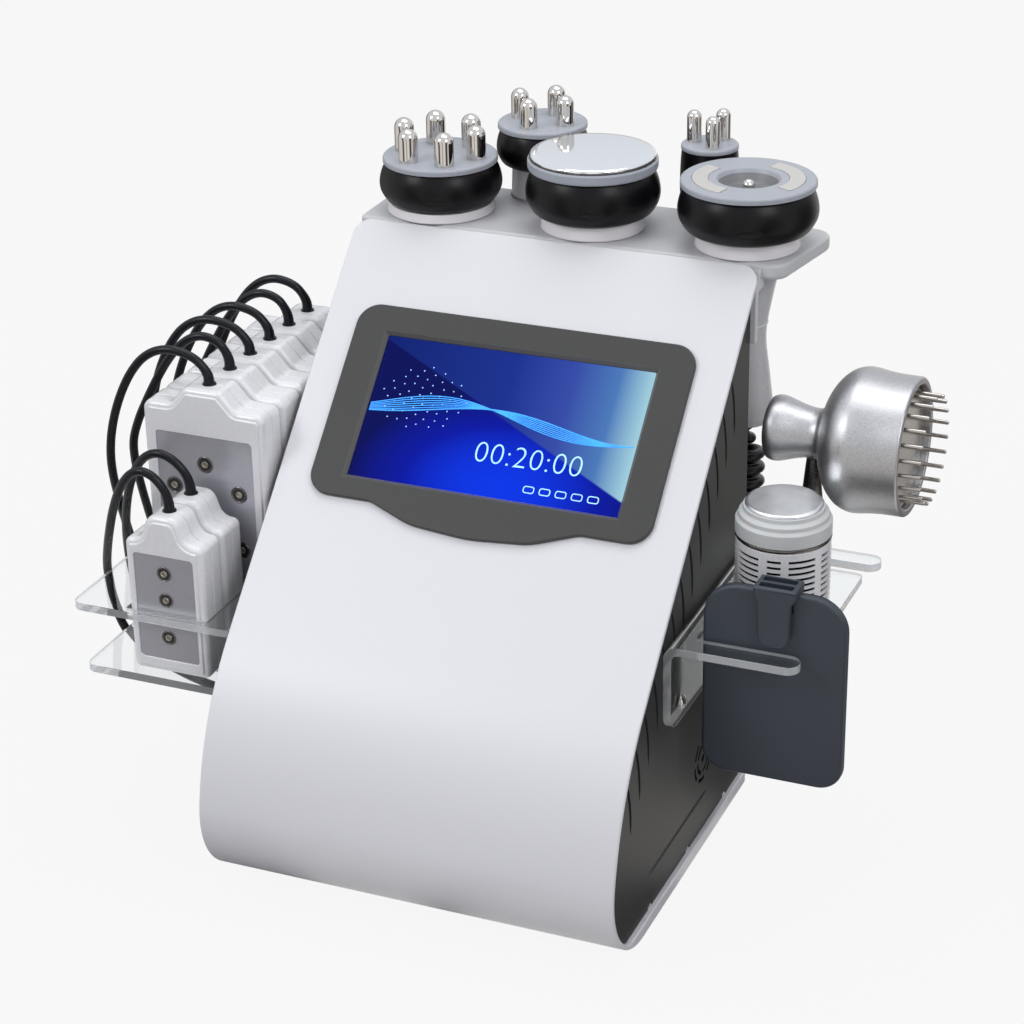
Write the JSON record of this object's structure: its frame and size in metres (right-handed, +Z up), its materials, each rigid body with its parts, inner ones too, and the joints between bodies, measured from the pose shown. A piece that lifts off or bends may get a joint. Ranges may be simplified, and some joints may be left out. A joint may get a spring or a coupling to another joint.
{
  "type": "slimming machine",
  "caption": "Table-top body-care machine: sloping display body, hand-held heads in a top tray, light pads in a clear side rack and a clear holder for more tools.",
  "frame": {"origin": "middle of the footprint of all rigid pieces, on the surface that the machine stands on", "axes": "+X to the right as the user facing the display sees it, +Y to the rear, +Z up"},
  "size_m": [0.4899, 0.3556, 0.4115],
  "materials": {
    "shell_white": "satin",
    "panel_grey": "matte",
    "bezel_grey": "satin",
    "screen_glass": "gloss",
    "tray_grey": "satin",
    "gloss_white": "gloss",
    "bowl_black": "satin",
    "frosted_grey": "frosted",
    "polished_steel": "polished",
    "satin_metal": "satin",
    "dark_metal": "satin",
    "clear_acrylic": "gloss",
    "slate_silicone": "matte",
    "cord_black": "satin",
    "black_plastic": "matte",
    "board_green": "satin",
    "rocker_red": "gloss"
  },
  "bodies": {
    "base": {"front_shell": "shell_white", "left_side_panel": "panel_grey", "right_side_panel": "panel_grey", "rear_cover": "panel_grey", "screen_bezel": "bezel_grey", "display_module": "screen_glass", "top_tray": "tray_grey", "pad_rack": "clear_acrylic", "tool_holder": "clear_acrylic", "power_inlet": "black_plastic", "fan_frame": "black_plastic", "control_board": "board_green", "power_supply": "satin_metal", "vacuum_pump": "black_plastic", "small_pad_1_cable": "cord_black", "small_pad_2_cable": "cord_black", "large_pad_1_cable": "cord_black", "large_pad_2_cable": "cord_black", "large_pad_3_cable": "cord_black", "large_pad_4_cable": "cord_black", "large_pad_5_cable": "cord_black", "large_pad_6_cable": "cord_black", "curly_cord": "cord_black"},
    "six_pin_head": {"six_pin_handle": "gloss_white", "six_pin_bowl": "bowl_black", "six_pin_face": "frosted_grey", "six_pin_electrodes": "polished_steel"},
    "four_pin_head": {"four_pin_handle": "gloss_white", "four_pin_bowl": "bowl_black", "four_pin_face": "frosted_grey", "four_pin_electrodes": "polished_steel"},
    "three_pin_head": {"three_pin_handle": "gloss_white", "three_pin_bowl": "bowl_black", "three_pin_face": "frosted_grey", "three_pin_electrodes": "polished_steel"},
    "cavitation_head": {"cavitation_handle": "gloss_white", "cavitation_bowl": "bowl_black", "cavitation_collar": "frosted_grey", "cavitation_disc": "polished_steel"},
    "vacuum_head": {"vacuum_handle": "tray_grey", "vacuum_bowl": "bowl_black", "vacuum_face": "frosted_grey", "vacuum_electrodes": "satin_metal"},
    "cooling_head": {"cooling_body": "gloss_white", "cooling_collar": "frosted_grey", "cooling_disc": "polished_steel"},
    "massager": {"massager_body": "satin_metal", "massager_comb": "polished_steel", "massager_stem": "dark_metal"},
    "paddle": {"electrode_paddle": "slate_silicone"},
    "small_pad_1_body": {"small_pad_1": "gloss_white"},
    "small_pad_2_body": {"small_pad_2": "gloss_white"},
    "large_pad_1_body": {"large_pad_1": "gloss_white"},
    "large_pad_2_body": {"large_pad_2": "gloss_white"},
    "large_pad_3_body": {"large_pad_3": "gloss_white"},
    "large_pad_4_body": {"large_pad_4": "gloss_white"},
    "large_pad_5_body": {"large_pad_5": "gloss_white"},
    "large_pad_6_body": {"large_pad_6": "gloss_white"},
    "switch": {"power_switch": "rocker_red"},
    "rotor": {"fan_rotor": "black_plastic"}
  },
  "joints": [
    {"name": "six_pin_head_lift", "type": "slide", "parent": "base", "child": "six_pin_head", "axis": [0, 0, 1], "range_m": [0, 0.112]},
    {"name": "four_pin_head_lift", "type": "slide", "parent": "base", "child": "four_pin_head", "axis": [0, 0, 1], "range_m": [0, 0.112]},
    {"name": "three_pin_head_lift", "type": "slide", "parent": "base", "child": "three_pin_head", "axis": [0, 0, 1], "range_m": [0, 0.112]},
    {"name": "cavitation_head_lift", "type": "slide", "parent": "base", "child": "cavitation_head", "axis": [0, 0, 1], "range_m": [0, 0.112]},
    {"name": "vacuum_head_lift", "type": "slide", "parent": "base", "child": "vacuum_head", "axis": [0, 0, 1], "range_m": [0, 0.112], "deforming": ["curly_cord"]},
    {"name": "cooling_head_lift", "type": "slide", "parent": "base", "child": "cooling_head", "axis": [0, 0, 1], "range_m": [0, 0.09]},
    {"name": "massager_lift", "type": "slide", "parent": "base", "child": "massager", "axis": [0, 0, 1], "range_m": [0, 0.034]},
    {"name": "paddle_lift", "type": "slide", "parent": "base", "child": "paddle", "axis": [0, 0, 1], "range_m": [0, 0.09]},
    {"name": "small_pad_1_body_lift", "type": "slide", "parent": "base", "child": "small_pad_1_body", "axis": [0, 0, 1], "range_m": [0, 0.045], "deforming": ["small_pad_1_cable"]},
    {"name": "small_pad_2_body_lift", "type": "slide", "parent": "base", "child": "small_pad_2_body", "axis": [0, 0, 1], "range_m": [0, 0.045], "deforming": ["small_pad_2_cable"]},
    {"name": "large_pad_1_body_lift", "type": "slide", "parent": "base", "child": "large_pad_1_body", "axis": [0, 0, 1], "range_m": [0, 0.045], "deforming": ["large_pad_1_cable"]},
    {"name": "large_pad_2_body_lift", "type": "slide", "parent": "base", "child": "large_pad_2_body", "axis": [0, 0, 1], "range_m": [0, 0.045], "deforming": ["large_pad_2_cable"]},
    {"name": "large_pad_3_body_lift", "type": "slide", "parent": "base", "child": "large_pad_3_body", "axis": [0, 0, 1], "range_m": [0, 0.045], "deforming": ["large_pad_3_cable"]},
    {"name": "large_pad_4_body_lift", "type": "slide", "parent": "base", "child": "large_pad_4_body", "axis": [0, 0, 1], "range_m": [0, 0.045], "deforming": ["large_pad_4_cable"]},
    {"name": "large_pad_5_body_lift", "type": "slide", "parent": "base", "child": "large_pad_5_body", "axis": [0, 0, 1], "range_m": [0, 0.045], "deforming": ["large_pad_5_cable"]},
    {"name": "large_pad_6_body_lift", "type": "slide", "parent": "base", "child": "large_pad_6_body", "axis": [0, 0, 1], "range_m": [0, 0.045], "deforming": ["large_pad_6_cable"]},
    {"name": "switch_rock", "type": "hinge", "parent": "base", "child": "switch", "pos_m": [-0.0951, 0.05925, 0.0675], "axis": [1, 0, 0], "range_deg": [0, 20]},
    {"name": "rotor_spin", "type": "hinge", "parent": "base", "child": "rotor", "pos_m": [-0.0481, 0.05075, 0.225], "axis": [0, 1, 0], "continuous": true}
  ]
}
